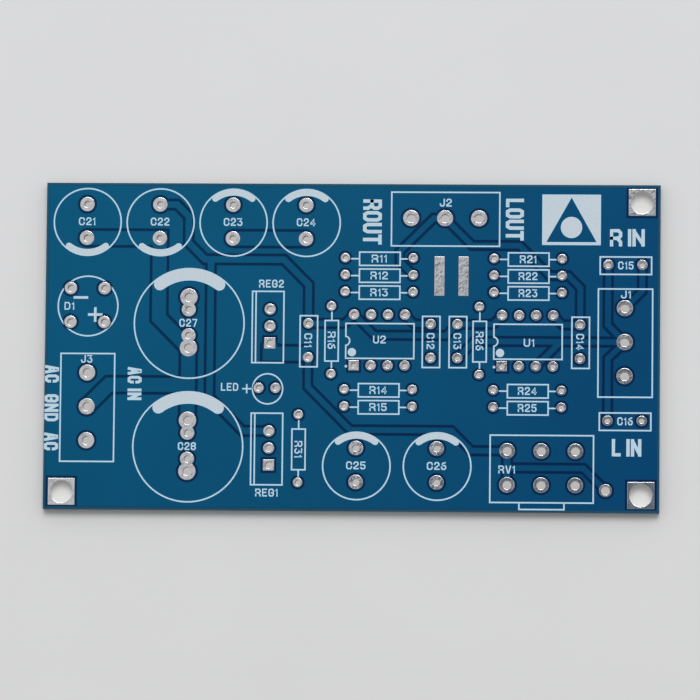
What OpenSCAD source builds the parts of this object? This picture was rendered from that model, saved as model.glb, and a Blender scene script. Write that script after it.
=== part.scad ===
// Bare printed circuit board for a stereo audio preamplifier.
// Two foils on a drilled laminate, solder masks, plated holes and a printed legend.
// Origin: centre of the underside. X along the length, Y along the width, Z towards the component side.
// All lengths in millimetres.

/* [Board] */
// Length of the board, along x
board_length = 92; // [91:0.5:94]
// Width of the board, along y
board_width = 49; // [48.5:0.5:51]
// Thickness of the board from mask to mask
board_thickness = 1.6; // [1.2:0.1:2.4]
// Thickness of each copper foil
copper_thickness = 0.035; // [0.035:0.005:0.07]
// Thickness of the solder mask over the foil
mask_thickness = 0.025; // [0.02:0.005:0.04]
// Depth by which the mask sinks over each gap in the foil
mask_dip = 0.015; // [0.005:0.001:0.018]
// Thickness of the printed legend
legend_thickness = 0.02; // [0.015:0.005:0.03]
// Wall of the plated barrel inside each hole
barrel_wall = 0.03; // [0.02:0.005:0.035]

/* [Foil] */
// Gap between the pour and each track or pad
isolation = 0.3; // [0.2:0.05:0.35]
// Bare rim between the pour and the edge of the board
pour_margin = 0.35; // [0.25:0.05:0.5]
// Width of the power tracks
power_track = 2.22; // [1.8:0.02:2.3]
// Width of the tracks from the positive regulator
supply_track = 1.1; // [0.9:0.05:1.3]
// Width of the other tracks
signal_track = 0.97; // [0.8:0.01:1.1]
// Width of the spokes that join ground pads to the pour of the solder side
spoke_width = 0.5; // [0.4:0.05:0.7]

/* [Mounting holes] */
// Bore of the mounting holes
mounting_hole = 3.4; // [3.2:0.1:3.6]
// Side of the square pads round the mounting holes
mounting_pad = 4; // [3.8:0.1:4.6]
// Distance of the mounting holes from the short edges
mounting_inset_x = 2.75; // [2.5:0.05:3.5]
// Distance of the mounting holes from the long edges
mounting_inset_y = 2.6; // [2.5:0.05:3.5]

/* [Pads and holes] */
// Distance between neighbouring pins of the amplifiers and regulators
fine_pitch = 2.54; // [2.5:0.01:2.6]
// Distance between neighbouring pins of terminals, capacitors, bridge and potentiometer
coarse_pitch = 5.08; // [5:0.01:5.1]
// Bore for the screw terminals' and the potentiometer's pins
terminal_hole = 1.3; // [1.2:0.05:1.4]
// Pad of the screw terminals
terminal_pad = 2.4; // [2.2:0.05:2.6]
// Pad of the potentiometer
potentiometer_pad = 2.3; // [2.1:0.05:2.5]
// Bore for the small electrolytic capacitors and the bridge
capacitor_hole = 1; // [0.9:0.05:1.1]
// Pad of the small electrolytic capacitors
capacitor_pad = 2.16; // [2:0.02:2.4]
// Bore for the outer pins of the reservoir capacitors
reservoir_outer_hole = 1.3; // [1.2:0.05:1.4]
// Pad of the outer pins of the reservoir capacitors
reservoir_outer_pad = 2.6; // [2.4:0.05:2.8]
// Pad of the inner pins of the reservoir capacitors
reservoir_inner_pad = 2.1; // [2:0.05:2.3]
// Distance between the outer pins of a reservoir capacitor
reservoir_outer_span = 7.62; // [7.5:0.01:7.7]
// Distance between the inner pins of a reservoir capacitor
reservoir_inner_span = 3.9; // [3.7:0.05:4]
// Pad of the bridge rectifier
bridge_pad = 1.85; // [1.7:0.05:2]
// Bore for the regulators' pins
regulator_hole = 1; // [0.9:0.05:1.1]
// Pad of the regulators
regulator_pad = 1.65; // [1.6:0.05:1.8]
// Bore for the amplifiers, resistors, lamp and film capacitors
fine_hole = 0.8; // [0.7:0.05:0.9]
// Pad of the amplifiers, film capacitors and lamp
fine_pad = 1.52; // [1.4:0.02:1.6]
// Distance between the two rows of an amplifier's pins
amplifier_rows = 7.62; // [7.5:0.01:7.7]
// Pad of the resistors
resistor_pad = 1.4; // [1.3:0.05:1.5]
// Distance between the two pins of a resistor
resistor_span = 10.16; // [10:0.01:10.3]
// Bore of the ground point
ground_hole = 1.3; // [1.2:0.05:1.4]
// Pad of the ground point
ground_pad_width = 1.9; // [1.8:0.05:2.1]

/* [Power section] */
// Distance of the power terminal's pins from the left edge
power_terminal_inset = 6.4; // [6:0.1:6.8]
// Middle pin of the power terminal, along y
power_terminal_y = -9.15; // [-9.5:0.05:-8.9]
// Distance of the bridge rectifier's centre from the left edge
bridge_inset = 6.32; // [6:0.02:6.6]
// Centre of the bridge rectifier, along y
bridge_y = 6.08; // [5.9:0.02:6.3]
// Distance of the reservoir capacitors' centres from the left edge
reservoir_inset_x = 21.55; // [21.3:0.05:21.9]
// Centre of the upper reservoir capacitor, along y
upper_reservoir_y = 3.55; // [3.3:0.05:3.8]
// Distance of the lower reservoir capacitor's centre from the lower edge
reservoir_inset_y = 9.55; // [9.3:0.05:9.7]
// Distance of the filter capacitors' centres from the upper edge
filter_inset_y = 5.76; // [5.66:0.02:5.86]
// Distance of the first filter capacitor's centre from the left edge
filter_inset_x = 6.1; // [5.9:0.05:6.4]
// Distance between neighbouring filter capacitors
filter_step = 10.97; // [10.9:0.01:11.1]
// Pins of both regulators, along x
regulator_x = -12.25; // [-12.5:0.05:-12]
// Middle pin of the negative regulator, along y
negative_regulator_y = 3.07; // [2.9:0.01:3.2]
// Middle pin of the positive regulator, along y
positive_regulator_y = -15.2; // [-15.4:0.05:-15]
// Centre of the lamp, along x
lamp_x = -12.59; // [-12.8:0.01:-12.4]
// Centre of the lamp, along y
lamp_y = -6.2; // [-6.4:0.05:-6]

/* [Amplifier section] */
// First pin of the output amplifier, along x
output_amplifier_x = 0.33; // [0.2:0.01:0.5]
// First pin of the input amplifier, along x
input_amplifier_x = 22.45; // [22.3:0.01:22.6]
// First pins of both amplifiers, along y
amplifier_y = -2.74; // [-2.9:0.01:-2.6]
// Supply film capacitor of the output amplifier, along x
film_1_x = -6.5; // [-6.7:0.05:-6.3]
// Second film capacitor, along x
film_2_x = 11.8; // [11.7:0.05:12]
// Third film capacitor, along x
film_3_x = 15.8; // [15.6:0.05:16]
// Fourth film capacitor, along x
film_4_x = 34.1; // [34:0.05:34.3]
// Centres of the film capacitors, along y
film_y = 0.97; // [0.85:0.01:1.1]
// Left pins of the lying resistors of the output amplifier
left_resistor_x = -1.05; // [-1.2:0.05:-0.9]
// Left pins of the lying resistors of the input amplifier
right_resistor_x = 21.2; // [21:0.05:21.4]
// Highest row of resistors above the amplifiers
upper_resistor_y = 13.4; // [13.3:0.05:13.5]
// Highest row of resistors below the amplifiers
lower_resistor_y = -6.32; // [-6.5:0.02:-6.2]
// Distance between rows of resistors
resistor_step = 2.54; // [2.5:0.01:2.6]
// First standing resistor, along x
standing_resistor_1_x = -3.07; // [-3.2:0.01:-3]
// Second standing resistor, along x
standing_resistor_2_x = 19.05; // [18.9:0.05:19.2]
// Centres of those standing resistors, along y
standing_resistor_y = 1.06; // [0.9:0.01:1.2]
// Lamp's resistor, along x
lamp_resistor_x = -7.87; // [-8:0.01:-7.7]
// Centre of the lamp's resistor, along y
lamp_resistor_y = -15.23; // [-15.4:0.01:-15]
// First coupling capacitor, along x
coupling_x = 0.8; // [0.6:0.05:1]
// Distance between the coupling capacitors
coupling_step = 12.05; // [11.9:0.05:12.2]
// Distance of the coupling capacitors' centres from the lower edge
coupling_inset = 6.86; // [6.7:0.02:7]

/* [Controls and connectors] */
// Middle pin of the output terminal, along x
output_terminal_x = 13.82; // [13.7:0.01:13.95]
// Distance of the output terminal's pins from the upper edge
output_terminal_inset = 5.1; // [5:0.05:5.2]
// Distance of the input terminal's pins from the right edge
input_terminal_inset = 5.25; // [5.1:0.05:5.5]
// Middle pin of the input terminal, along y
input_terminal_y = 0.97; // [0.85:0.01:1.1]
// Distance of the input ceramic capacitors' centres from the right edge
ceramic_inset = 5.22; // [5.1:0.01:5.3]
// Upper ceramic capacitor, along y
upper_ceramic_y = 12.55; // [12.4:0.05:12.7]
// Lower ceramic capacitor, along y
lower_ceramic_y = -10.78; // [-11:0.02:-10.6]
// Middle pins of the potentiometer, along x
potentiometer_x = 28.42; // [28.3:0.01:28.55]
// Distance of the potentiometer's centre from the lower edge
potentiometer_inset = 6.58; // [6.5:0.01:6.65]
// Distance of the ground point from the right edge
ground_inset_x = 8; // [7.8:0.05:8.2]
// Distance of the ground point from the lower edge
ground_inset_y = 3.3; // [3.2:0.05:3.4]

/* [Tracks] */
// Distance of the positive supply's column between the filter capacitors from the left edge
supply_column_inset = 21.4; // [21.2:0.05:21.6]
// Row of the positive supply below the filter capacitors
supply_row_y = 13.06; // [12.9:0.02:13.2]
// Distance of the positive supply's column down to its regulator from the left edge
supply_drop_inset = 24.8; // [24.6:0.05:25]
// Row of the ground link from the power terminal to the reservoir capacitors
reservoir_row_y = -5.85; // [-6:0.05:-5.6]
// Row of the ground link from the negative regulator
regulator_row_y = -1.05; // [-1.2:0.05:-0.95]
// Row of the signal ground below the output amplifier
ground_row_y = -12.4; // [-12.6:0.05:-12.3]
// End of that row, along x
ground_row_end_x = 15; // [14.8:0.1:15.2]
// Row of the positive supply between the output amplifier's pins
amplifier_row_y = 1.8; // [1.6:0.05:2]
// Distance of the output ground's column from the middle pin of the output terminal
output_column = 6.72; // [6.62:0.02:6.82]
// Distance of the output ground's row from the pins of the output terminal
output_row = 4.06; // [4:0.02:4.2]
// Straight run of the output ground before it turns down
output_run = 1.7; // [1.5:0.1:1.9]
// Straight run of a track before a resistor's pad
resistor_run = 1.85; // [1.7:0.05:2]
// Length by which the largest bends are cut, along each leg
large_bend = 6.4; // [6:0.1:6.6]
// Length by which the middling bends are cut, along each leg
middle_bend = 5; // [4.6:0.1:5.2]
// Length by which the small bends are cut, along each leg
small_bend = 3.75; // [3.5:0.05:4]
// Length by which the least bends are cut, along each leg
least_bend = 1.8; // [1.6:0.05:2]
// Distance of the alternating current's column from the left edge, on the solder side
alternating_inset = 2; // [1.9:0.05:2.1]
// Distance of the raw positive supply's column from the left edge, on the solder side
raw_inset = 13; // [12.6:0.1:13.4]
// Row of the raw negative supply, on the solder side
raw_row_y = 11.5; // [11.3:0.1:12]
// Row of the potentiometer's feed, on the solder side
feed_row_y = -12.9; // [-13:0.05:-12.8]

/* [Legend] */
// Width of the printed lines
line_width = 0.22; // [0.18:0.02:0.3]
// Clearance between the print and the pads
print_clearance = 0.15; // [0.1:0.05:0.2]
// Bare rim between the print and the edge of the board
print_margin = 0.3; // [0.2:0.05:0.5]
// Offset of the whole print from the holes, as its screen was laid on
print_shift = [0.08, -0.14]; // [-0.2:0.02:0.2]
// Diameter of the small electrolytic capacitors
capacitor_diameter = 10.3; // [10:0.1:10.6]
// Depth of the polarity bands of the small electrolytic capacitors, outline included
capacitor_band = 1.08; // [1:0.02:1.3]
// Diameter of the reservoir capacitors
reservoir_diameter = 16.7; // [16.4:0.1:17]
// Depth of the polarity bands of the reservoir capacitors, outline included
reservoir_band = 1.9; // [1.7:0.05:2.1]
// Half of the angle that a polarity band spans
band_half_angle = 37.5; // [34:0.5:42]
// Length of a screw terminal's body
terminal_body_length = 16.4; // [16.2:0.1:16.6]
// Width of a screw terminal's body
terminal_body_width = 8.3; // [8.1:0.1:8.5]
// Diameter of the bridge rectifier
bridge_diameter = 9.2; // [9:0.1:9.4]
// Length of a regulator's body
regulator_body_length = 10.93; // [10.7:0.05:11.1]
// Width of a regulator's body
regulator_body_width = 4.94; // [4.8:0.05:5.1]
// Distance of a regulator's body centre from its pins
regulator_body_shift = 0.38; // [0.3:0.02:0.5]
// Thickness of a regulator's tab
regulator_tab = 0.65; // [0.5:0.05:0.8]
// Diameter of the lamp
lamp_diameter = 4.74; // [4.6:0.02:4.9]
// Length of an amplifier's body
amplifier_body_length = 10.4; // [10.2:0.1:10.6]
// Width of an amplifier's body
amplifier_body_width = 5.45; // [5.3:0.05:5.6]
// Diameter of the round key in the end of an amplifier's body
amplifier_key = 1.6; // [1.4:0.1:1.8]
// Diameter of the printed dot in the corner of an amplifier's body
pin_dot = 1.24; // [1:0.04:1.4]
// Distance of that dot's centre from both edges of the body
pin_dot_inset = 1.03; // [0.9:0.01:1.2]
// Diameter of the small point beside an amplifier's first pin
pin_point = 0.4; // [0.3:0.02:0.5]
// Gap between that point and the pad
pin_point_gap = 0.27; // [0.2:0.01:0.3]
// Length of a film or ceramic capacitor's body
film_body_length = 7.88; // [7.7:0.02:8]
// Width of a film or ceramic capacitor's body
film_body_width = 2.83; // [2.7:0.01:2.9]
// Length of a resistor's body
resistor_body_length = 6.3; // [6.1:0.1:6.5]
// Width of a resistor's body
resistor_body_width = 2.22; // [2.1:0.02:2.3]
// Length of the potentiometer's body
potentiometer_body_length = 15.6; // [15.4:0.1:15.8]
// Width of the potentiometer's body
potentiometer_body_width = 10.26; // [10.1:0.02:10.4]
// Width of the potentiometer's collar
collar_width = 6.7; // [6.5:0.1:7]
// Length of the strokes of the bridge's polarity signs
bridge_sign = 2.2; // [1.9:0.1:2.3]
// Width of the strokes of the bridge's polarity signs
bridge_sign_width = 0.38; // [0.3:0.02:0.5]
// Distances of those signs from the middle of the bridge, along x and y
bridge_sign_place = [1.1, 1.28]; // [1:0.02:1.4]
// Length of the strokes of the lamp's polarity sign
lamp_sign = 1.4; // [1.2:0.1:1.6]
// Gap between the lamp's outline and its polarity sign
lamp_sign_gap = 0.05; // [0.02:0.01:0.2]
// Distances of the white field from the right edge and the upper edge
field_inset = [8.98, 1.31]; // [1.2:0.01:9.1]
// Length and width of the white field
field_size = [8.76, 7.59]; // [7.4:0.01:8.9]
// Base of the triangle left open in the white field
mark_base = 7.5; // [7:0.1:7.8]
// Height of that triangle
mark_height = 6.7; // [6.2:0.1:6.9]
// Diameter of the disc printed inside that triangle
mark_disc = 3.2; // [2.8:0.1:3.4]

/* [Tinned bars] */
// Centre of the pair of tinned bars
bars_centre = [14.85, 10.7]; // [10.6:0.05:14.9]
// Length of each tinned bar
bar_length = 5.9; // [5.6:0.1:6.1]
// Width of each tinned bar
bar_width = 1.5; // [1.2:0.1:1.8]
// Distance between the bars' centres
bar_step = 3.6; // [3.2:0.1:4]

/* [Hidden] */
$fn = 48;
overcut = 1;
coating = copper_thickness + mask_thickness;
laminate_top = board_thickness - coating;
half_length = board_length / 2;
half_width = board_width / 2;

// A hole is [centre, bore, pad, whether the pad is square].
function hole(centre, bore, pad, square_pad = false) = [centre, bore, pad, square_pad];
function centre_of(h) = h[0];
function drill_of(h) = h[1] + 2 * barrel_wall;

// Places of pins, each set in the order of its pins
mounting_spots = [
    for (corner = [[-1, -1], [1, -1], [1, 1]])
    [corner.x * (half_length - mounting_inset_x), corner.y * (half_width - mounting_inset_y)]
];
power_pins = [for (i = [1, 0, -1]) [power_terminal_inset - half_length, power_terminal_y + i * coarse_pitch]];
input_pins = [for (i = [1, 0, -1]) [half_length - input_terminal_inset, input_terminal_y + i * coarse_pitch]];
output_pins = [for (i = [-1, 0, 1]) [output_terminal_x + i * coarse_pitch, half_width - output_terminal_inset]];
bridge_centre = [bridge_inset - half_length, bridge_y];
bridge_pins = [
    for (corner = [[-1, 1], [1, 1], [1, -1], [-1, -1]])
    bridge_centre + corner * coarse_pitch / 2
];
filter_centres = [
    for (i = [0:3])
    [filter_inset_x - half_length + i * filter_step, half_width - filter_inset_y]
];
coupling_centres = [for (i = [0:1]) [coupling_x + i * coupling_step, coupling_inset - half_width]];
reservoir_x = reservoir_inset_x - half_length;
reservoir_centres = [[reservoir_x, upper_reservoir_y], [reservoir_x, reservoir_inset_y - half_width]];
regulator_centres = [[regulator_x, negative_regulator_y], [regulator_x, positive_regulator_y]];
lamp_pins = upright_pair([lamp_x, lamp_y], fine_pitch, 90);
amplifier_pins = [for (x = [output_amplifier_x, input_amplifier_x]) dual_row([x, amplifier_y])];
film_pins = [for (x = [film_1_x, film_2_x, film_3_x, film_4_x]) upright_pair([x, film_y], coarse_pitch)];
ceramic_centres = [for (y = [upper_ceramic_y, lower_ceramic_y]) [half_length - ceramic_inset, y]];
ceramic_pins = [for (c = ceramic_centres) upright_pair(c, coarse_pitch, 90)];
potentiometer_centre = [potentiometer_x, potentiometer_inset - half_width];
potentiometer_pins = [
    for (row = [1, -1], column = [-1, 0, 1])
    potentiometer_centre + [column, row / 2] * coarse_pitch
];
ground_spot = [half_length - ground_inset_x, ground_inset_y - half_width];

// Resistors as [centre, turn]: lying ones row by row from the top, then the standing ones
lying_rows = concat(
    [for (i = [0:2]) upper_resistor_y - i * resistor_step],
    [for (i = [0:1]) lower_resistor_y - i * resistor_step]
);
resistor_places = concat(
    [for (x = [left_resistor_x, right_resistor_x], y = lying_rows) [[x + resistor_span / 2, y], 90]],
    [
        [[standing_resistor_1_x, standing_resistor_y], 0],
        [[standing_resistor_2_x, standing_resistor_y], 0],
        [[lamp_resistor_x, lamp_resistor_y], 0]
    ]
);
resistor_pins = [for (place = resistor_places) upright_pair(place[0], resistor_span, place[1])];

// Two pins in a column, the upper one first, or in a row, the left one first
function upright_pair(centre, span, turn = 0) =
    let (half = turn == 0 ? [0, span / 2] : [-span / 2, 0])
    [centre + half, centre - half];

// Eight pins, anticlockwise from the first
function dual_row(first) = concat(
    [for (i = [0:3]) first + [i * fine_pitch, 0]],
    [for (i = [3:-1:0]) first + [i * fine_pitch, amplifier_rows]]
);

// Plated holes of each footprint
mounting_holes = [for (p = mounting_spots) hole(p, mounting_hole, mounting_pad, true)];
power_terminal_holes = [for (p = power_pins) hole(p, terminal_hole, terminal_pad)];
input_terminal_holes = [for (p = input_pins) hole(p, terminal_hole, terminal_pad)];
output_terminal_holes = [for (p = output_pins) hole(p, terminal_hole, terminal_pad)];
bridge_holes = [for (p = bridge_pins) hole(p, capacitor_hole, bridge_pad)];
filter_holes = [for (c = filter_centres) capacitor_holes(c)];
coupling_holes = [for (c = coupling_centres) capacitor_holes(c)];
reservoir_holes = [for (c = reservoir_centres) concat(
    [for (p = upright_pair(c, reservoir_outer_span)) hole(p, reservoir_outer_hole, reservoir_outer_pad)],
    [for (p = upright_pair(c, reservoir_inner_span)) hole(p, capacitor_hole, reservoir_inner_pad)]
)];
regulator_holes = [for (c = regulator_centres) [
    for (i = [-1, 0, 1])
    hole(c + [0, i * fine_pitch], regulator_hole, regulator_pad, i == -1)
]];
lamp_holes = [for (p = lamp_pins) hole(p, fine_hole, fine_pad)];
amplifier_holes = [for (pins = amplifier_pins) [
    for (i = [0:7])
    hole(pins[i], fine_hole, fine_pad, i == 0)
]];
film_holes = [for (pins = film_pins) [for (p = pins) hole(p, fine_hole, fine_pad)]];
ceramic_holes = [for (pins = ceramic_pins) [for (p = pins) hole(p, fine_hole, fine_pad)]];
potentiometer_holes = [for (p = potentiometer_pins) hole(p, terminal_hole, potentiometer_pad)];
ground_holes = [hole(ground_spot, ground_hole, ground_pad_width)];
resistor_holes = [for (pins = resistor_pins) [for (p = pins) hole(p, fine_hole, resistor_pad)]];

function capacitor_holes(centre) = [
    for (p = upright_pair(centre, coarse_pitch))
    hole(p, capacitor_hole, capacitor_pad)
];
function joined(lists) = [for (list = lists) each list];

all_holes = concat(
    mounting_holes, power_terminal_holes, input_terminal_holes, output_terminal_holes, bridge_holes,
    joined(filter_holes), joined(coupling_holes), joined(reservoir_holes), joined(regulator_holes),
    lamp_holes, joined(amplifier_holes), joined(film_holes), joined(ceramic_holes),
    potentiometer_holes, ground_holes, joined(resistor_holes)
);

// From a along x or y, then at 45 degrees into b
function straight_then_slant(a, b) =
    let (d = b - a, run = min(abs(d.x), abs(d.y)))
    [a, b - run * [sign(d.x), sign(d.y)], b];

// From a at 45 degrees, then along x or y into b
function slant_then_straight(a, b) =
    let (d = b - a, run = min(abs(d.x), abs(d.y)))
    [a, a + run * [sign(d.x), sign(d.y)], b];

// From a at 45 degrees to the row at y, along it, and at 45 degrees into b
function by_row(a, y, b) = [
    a,
    [a.x + sign(b.x - a.x) * abs(a.y - y), y],
    [b.x - sign(b.x - a.x) * abs(b.y - y), y],
    b
];

// From a at 45 degrees to the column at x, along it, and at 45 degrees into b
function by_column(a, x, b) = [
    a,
    [x, a.y + sign(b.y - a.y) * abs(a.x - x)],
    [x, b.y - sign(b.y - a.y) * abs(b.x - x)],
    b
];

// Pins that tracks meet
filter_tops = [for (holes = filter_holes) centre_of(holes[0])];
filter_ends = [for (holes = filter_holes) centre_of(holes[1])];
reservoir_tops = [for (holes = reservoir_holes) centre_of(holes[0])];
reservoir_ends = [for (holes = reservoir_holes) centre_of(holes[1])];
negative_pins = [for (h = regulator_holes[0]) centre_of(h)];
positive_pins = [for (h = regulator_holes[1]) centre_of(h)];
film_tops = [for (pins = film_pins) pins[0]];
film_ends = [for (pins = film_pins) pins[1]];
first_amplifier = amplifier_pins[0];
second_amplifier = amplifier_pins[1];
potentiometer_link = (potentiometer_pins[0] + potentiometer_pins[3]) / 2;
left_shunt = resistor_pins[1][1];
right_shunt = resistor_pins[6][1];

// Rows and columns that tracks keep to
supply_column_x = supply_column_inset - half_length;
supply_drop_x = supply_drop_inset - half_length;
alternating_column_x = alternating_inset - half_length;
raw_column_x = raw_inset - half_length;
output_column_x = output_terminal_x - output_column;
output_row_y = output_pins[1].y - output_row;

// Routes on the component side. A route is [width, points].
ground_routes = [
    [power_track, concat([filter_ends[0]], straight_then_slant(filter_ends[1], reservoir_ends[0]))],
    [power_track, [filter_ends[2], filter_ends[3]]],
    [power_track, slant_then_straight(power_pins[1], [reservoir_x, reservoir_row_y])],
    [power_track, [reservoir_ends[0], reservoir_tops[1]]],
    [power_track, [negative_pins[0], [regulator_x, regulator_row_y], [film_1_x, regulator_row_y]]],
    [signal_track, [
        film_ends[0],
        [film_1_x, ground_row_y + large_bend],
        [film_1_x + large_bend, ground_row_y],
        [ground_row_end_x, ground_row_y],
        [ground_row_end_x + ground_row_y - potentiometer_pins[0].y, potentiometer_pins[0].y],
        potentiometer_pins[0]
    ]],
    [supply_track, [potentiometer_pins[0], potentiometer_pins[3]]],
    [signal_track, straight_then_slant(potentiometer_link, ground_spot)]
];
supply_routes = [
    [supply_track, [
        filter_tops[1],
        [supply_column_x - least_bend, filter_tops[1].y],
        [supply_column_x, filter_tops[1].y - least_bend],
        [supply_column_x, supply_row_y + middle_bend / 2],
        [supply_column_x + middle_bend / 2, supply_row_y],
        [film_1_x - small_bend, supply_row_y],
        [film_1_x, supply_row_y - small_bend],
        film_tops[0]
    ]],
    [supply_track, [
        [supply_drop_x, supply_row_y],
        [supply_drop_x, positive_pins[2].y + middle_bend],
        [supply_drop_x + middle_bend, positive_pins[2].y],
        positive_pins[2]
    ]],
    [signal_track, straight_then_slant(film_tops[0], first_amplifier[7])],
    [signal_track, by_row(first_amplifier[7], amplifier_row_y, film_tops[2])],
    [signal_track, straight_then_slant(film_tops[2], second_amplifier[7])]
];
output_turn = output_pins[1] - [output_run, 0];
shunt_turn = right_shunt - [resistor_run, 0];
signal_routes = [
    [signal_track, slant_then_straight(first_amplifier[4], film_tops[1])],
    [signal_track, slant_then_straight(second_amplifier[4], film_tops[3])],
    [signal_track, concat([output_pins[1]], by_column(output_turn, output_column_x, left_shunt))],
    [signal_track, [
        output_pins[1],
        [output_pins[1].x + output_pins[1].y - output_row_y, output_row_y],
        shunt_turn + (output_row_y - shunt_turn.y) * [-1, 1],
        shunt_turn,
        right_shunt
    ]],
    [signal_track, [
        right_shunt,
        [film_4_x - least_bend, right_shunt.y],
        [film_4_x, right_shunt.y - least_bend],
        film_tops[3]
    ]],
    [signal_track, straight_then_slant(input_pins[1], film_ends[2])],
    [signal_track, [
        second_amplifier[2] + (input_terminal_y - amplifier_y) * [1, 1],
        second_amplifier[2]
    ]],
    [signal_track, straight_then_slant(ceramic_pins[0][0], input_pins[1])],
    [signal_track, straight_then_slant(ceramic_pins[0][1], input_pins[0])],
    [signal_track, slant_then_straight(input_pins[1], ceramic_pins[1][0])]
];
top_routes = concat(ground_routes, supply_routes, signal_routes);

// Routes on the solder side
bottom_routes = [
    [supply_track, straight_then_slant(power_pins[0], bridge_pins[1])],
    [supply_track, by_column(power_pins[2], alternating_column_x, bridge_pins[3])],
    [supply_track, by_column(bridge_pins[2], raw_column_x, reservoir_ends[1])],
    [supply_track, straight_then_slant(reservoir_ends[1], positive_pins[0])],
    [supply_track, by_row(bridge_pins[0], raw_row_y, reservoir_tops[0])],
    [supply_track, straight_then_slant(reservoir_tops[0], negative_pins[1])],
    [supply_track, [filter_tops[0], filter_tops[1]]],
    [supply_track, [filter_tops[2], filter_tops[3]]],
    [supply_track, straight_then_slant(negative_pins[2], filter_tops[3])],
    [signal_track, by_row(negative_pins[2], standing_resistor_y, first_amplifier[3])],
    [signal_track, slant_then_straight(first_amplifier[3], film_ends[1])],
    [signal_track, by_row(film_ends[1], standing_resistor_y, second_amplifier[3])],
    [signal_track, slant_then_straight(second_amplifier[3], film_ends[3])],
    [signal_track, straight_then_slant(input_pins[0], resistor_pins[5][1])],
    [signal_track, straight_then_slant(input_pins[2], resistor_pins[9][1])],
    [signal_track, straight_then_slant(second_amplifier[1], resistor_pins[8][0])],
    [signal_track, slant_then_straight(second_amplifier[5], resistor_pins[7][0])],
    [signal_track, straight_then_slant(first_amplifier[1], resistor_pins[3][0])],
    [signal_track, slant_then_straight(first_amplifier[5], resistor_pins[2][0])],
    [signal_track, straight_then_slant(output_pins[0], resistor_pins[0][1])],
    [signal_track, straight_then_slant(output_pins[2], resistor_pins[5][0])],
    [signal_track, by_row(centre_of(coupling_holes[1][0]), feed_row_y, potentiometer_pins[1])],
    [signal_track, slant_then_straight(lamp_pins[1], resistor_pins[12][0])],
    [signal_track, slant_then_straight(positive_pins[0], resistor_pins[12][1])]
];

// Holes whose pads join the pour of the solder side
grounded_holes = concat(
    [for (holes = filter_holes) holes[1]],
    [
        power_terminal_holes[1], input_terminal_holes[1], output_terminal_holes[1],
        regulator_holes[0][0], regulator_holes[1][1], lamp_holes[0],
        film_holes[0][1], film_holes[2][1], potentiometer_holes[0], ground_holes[0]
    ]
);

// Outline of a band of constant width along a line of points, with mitred corners
function leg_normal(path, i) =
    let (d = path[i + 1] - path[i])
    [-d.y, d.x] / norm(d);
function side_of(path, distance) = [
    for (i = [0:len(path) - 1])
    let (
        before = leg_normal(path, max(i - 1, 0)),
        after = leg_normal(path, min(i, len(path) - 2))
    )
    path[i] + distance * (before + after) / (1 + before * after)
];
function reversed(list) = [for (i = [len(list) - 1:-1:0]) list[i]];
function ribbon(path, width) = concat(side_of(path, width / 2), reversed(side_of(path, -width / 2)));

// Outline of a curved band with round ends, centred on the direction given
band_steps = 24;
cap_steps = 6;
function arc_points(centre, radius, from, to, steps) = [
    for (i = [0:steps])
    let (a = from + (to - from) * i / steps)
    centre + radius * [cos(a), sin(a)]
];
function curved_band(radius, width, middle) =
    let (
        a = middle - band_half_angle,
        b = middle + band_half_angle,
        far_end = radius * [cos(b), sin(b)],
        near_end = radius * [cos(a), sin(a)]
    )
    concat(
        arc_points([0, 0], radius + width / 2, a, b, band_steps),
        arc_points(far_end, width / 2, b + 180 / cap_steps, b + 180 - 180 / cap_steps, cap_steps - 2),
        arc_points([0, 0], radius - width / 2, b, a, band_steps),
        arc_points(near_end, width / 2, a + 180 + 180 / cap_steps, a + 360 - 180 / cap_steps, cap_steps - 2)
    );

module at_hole(h) {
    translate([centre_of(h).x, centre_of(h).y])
    children();
}

// Outline of a pad, grown by a margin
module pad_outline(h, margin = 0) {
    at_hole(h)
    if (h[3]) square(h[2] + 2 * margin, center = true);
    else circle(d = h[2] + 2 * margin);
}

module board_outline(margin = 0) {
    square([board_length + 2 * margin, board_width + 2 * margin], center = true);
}

module bar_outlines() {
    for (side = [-1, 1])
        translate(bars_centre + [side * bar_step / 2, 0])
        square([bar_width, bar_length], center = true);
}

// Everything that a foil covers, pads included where tracks or spokes reach them
module foil_outline(routes, spoked) {
    difference() {
        board_outline(-pour_margin);
        for (route = routes)
            polygon(ribbon(route[1], route[0] + 2 * isolation));
        for (h = all_holes)
            pad_outline(h, isolation);
    }
    for (route = routes)
        polygon(ribbon(route[1], route[0]));
    for (h = spoked)
        at_hole(h) {
            square([h[2] + 2 * isolation + spoke_width, spoke_width], center = true);
            square([spoke_width, h[2] + 2 * isolation + spoke_width], center = true);
        }
}

// Foil on a side, its face against the laminate at z = 0
module foil(routes, spoked = []) {
    difference() {
        linear_extrude(copper_thickness)
            foil_outline(routes, spoked);
        translate([0, 0, -overcut])
            linear_extrude(copper_thickness + 2 * overcut) {
                for (h = all_holes)
                    pad_outline(h);
                children();
            }
    }
}

// Solder mask on a side: it covers the foil, fills the gaps and dips over them
module mask(routes, spoked = []) {
    difference() {
        linear_extrude(coating)
            difference() {
                board_outline();
                for (h = all_holes)
                    pad_outline(h);
                children();
            }
        translate([0, 0, -overcut])
            linear_extrude(copper_thickness + overcut)
            foil_outline(routes, spoked);
        translate([0, 0, coating - mask_dip])
            linear_extrude(mask_dip + overcut)
            difference() {
                board_outline(overcut);
                foil_outline(routes, spoked);
            }
    }
}

// Turns a side's layers over to the underside
module underside() {
    translate([0, 0, coating])
    mirror([0, 0, 1])
    children();
}

module laminate() {
    color("darkkhaki")
    difference() {
        translate([0, 0, coating])
            linear_extrude(laminate_top - coating)
            board_outline();
        for (h = all_holes)
            at_hole(h)
            cylinder(h = board_thickness, d = drill_of(h));
    }
}

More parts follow.
